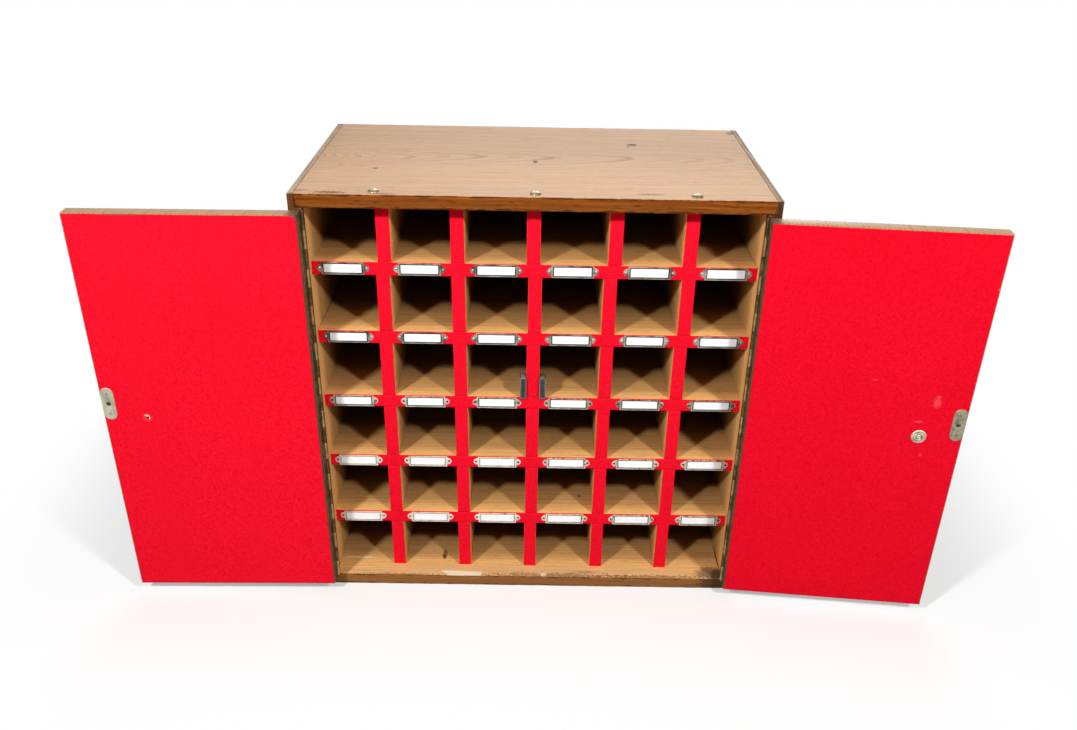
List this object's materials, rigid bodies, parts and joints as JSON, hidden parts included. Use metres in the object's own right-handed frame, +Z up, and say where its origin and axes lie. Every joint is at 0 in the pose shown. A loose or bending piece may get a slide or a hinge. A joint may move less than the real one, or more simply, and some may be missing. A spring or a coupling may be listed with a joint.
{
  "type": "pigeonhole organizer",
  "caption": "Wooden pigeonhole cabinet with a grid of open compartments, metal label holders on its shelves and a pair of red-lined hinged doors.",
  "frame": {"origin": "middle of the flat base that the case stands on", "axes": "+Z up, +X to the right across the front, -Y out of the front of the compartments"},
  "size_m": [1.1453, 0.3961, 0.6137],
  "materials": {
    "case_wood": "worn clear varnish",
    "grid_wood": "worn clear varnish",
    "door_wood": "worn clear varnish",
    "knob_wood": "worn clear varnish",
    "back_wood": "bare thin board",
    "slip_wood": "bare",
    "red_baize": "felted wool",
    "label_metal": "tarnished plate",
    "label_card": "uncoated card",
    "screw_metal": "satin",
    "cup_metal": "tarnished plate",
    "strike_metal": "tarnished plate",
    "hinge_brass": "dull",
    "catch_plastic": "moulded",
    "catch_magnet": "pressed ferrite",
    "catch_steel": "plain"
  },
  "bodies": {
    "cabinet": {"back_panel": "back_wood", "back_pins": "screw_metal", "bottom_board": "case_wood", "catch_magnets": "catch_magnet", "catch_pole_plates": "catch_steel", "catch_screws": "screw_metal", "divider_baize": "red_baize", "dividers_row_1": "grid_wood", "dividers_row_2": "grid_wood", "dividers_row_3": "grid_wood", "dividers_row_4": "grid_wood", "dividers_row_5": "grid_wood", "dividers_row_6": "grid_wood", "edge_slip": "slip_wood", "hinge_frame_screws": "hinge_brass", "label_cards": "label_card", "label_holders_row_1": "label_metal", "label_holders_row_2": "label_metal", "label_holders_row_3": "label_metal", "label_holders_row_4": "label_metal", "label_holders_row_5": "label_metal", "label_pins": "screw_metal", "left_catch_case": "catch_plastic", "left_hinge_frame_leaf": "hinge_brass", "left_hinge_pin": "hinge_brass", "left_side_panel": "case_wood", "right_catch_case": "catch_plastic", "right_hinge_frame_leaf": "hinge_brass", "right_hinge_pin": "hinge_brass", "right_side_panel": "case_wood", "shelf_1": "grid_wood", "shelf_2": "grid_wood", "shelf_3": "grid_wood", "shelf_4": "grid_wood", "shelf_5": "grid_wood", "shelf_baize": "red_baize", "top_board": "case_wood", "top_screw_cups": "cup_metal", "top_screws": "screw_metal"},
    "left_door": {"left_door_baize": "red_baize", "left_door_panel": "door_wood", "left_hinge_door_leaf": "hinge_brass", "left_hinge_door_screws": "hinge_brass", "left_knob": "knob_wood", "left_knob_screw": "screw_metal", "left_strike_plate": "strike_metal", "left_strike_screw": "screw_metal"},
    "right_door": {"right_door_baize": "red_baize", "right_door_panel": "door_wood", "right_hinge_door_leaf": "hinge_brass", "right_hinge_door_screws": "hinge_brass", "right_knob": "knob_wood", "right_knob_screw": "screw_metal", "right_knob_washer": "cup_metal", "right_strike_plate": "strike_metal", "right_strike_screw": "screw_metal"}
  },
  "joints": [
    {"name": "left_door_hinge", "type": "hinge", "parent": "cabinet", "child": "left_door", "pos_m": [-0.2875, -0.174, 0.305], "axis": [0, 0, -1], "range_deg": [-179, 1]},
    {"name": "right_door_hinge", "type": "hinge", "parent": "cabinet", "child": "right_door", "pos_m": [0.2875, -0.174, 0.305], "axis": [0, 0, 1], "range_deg": [-174.5, 5.5]}
  ]
}
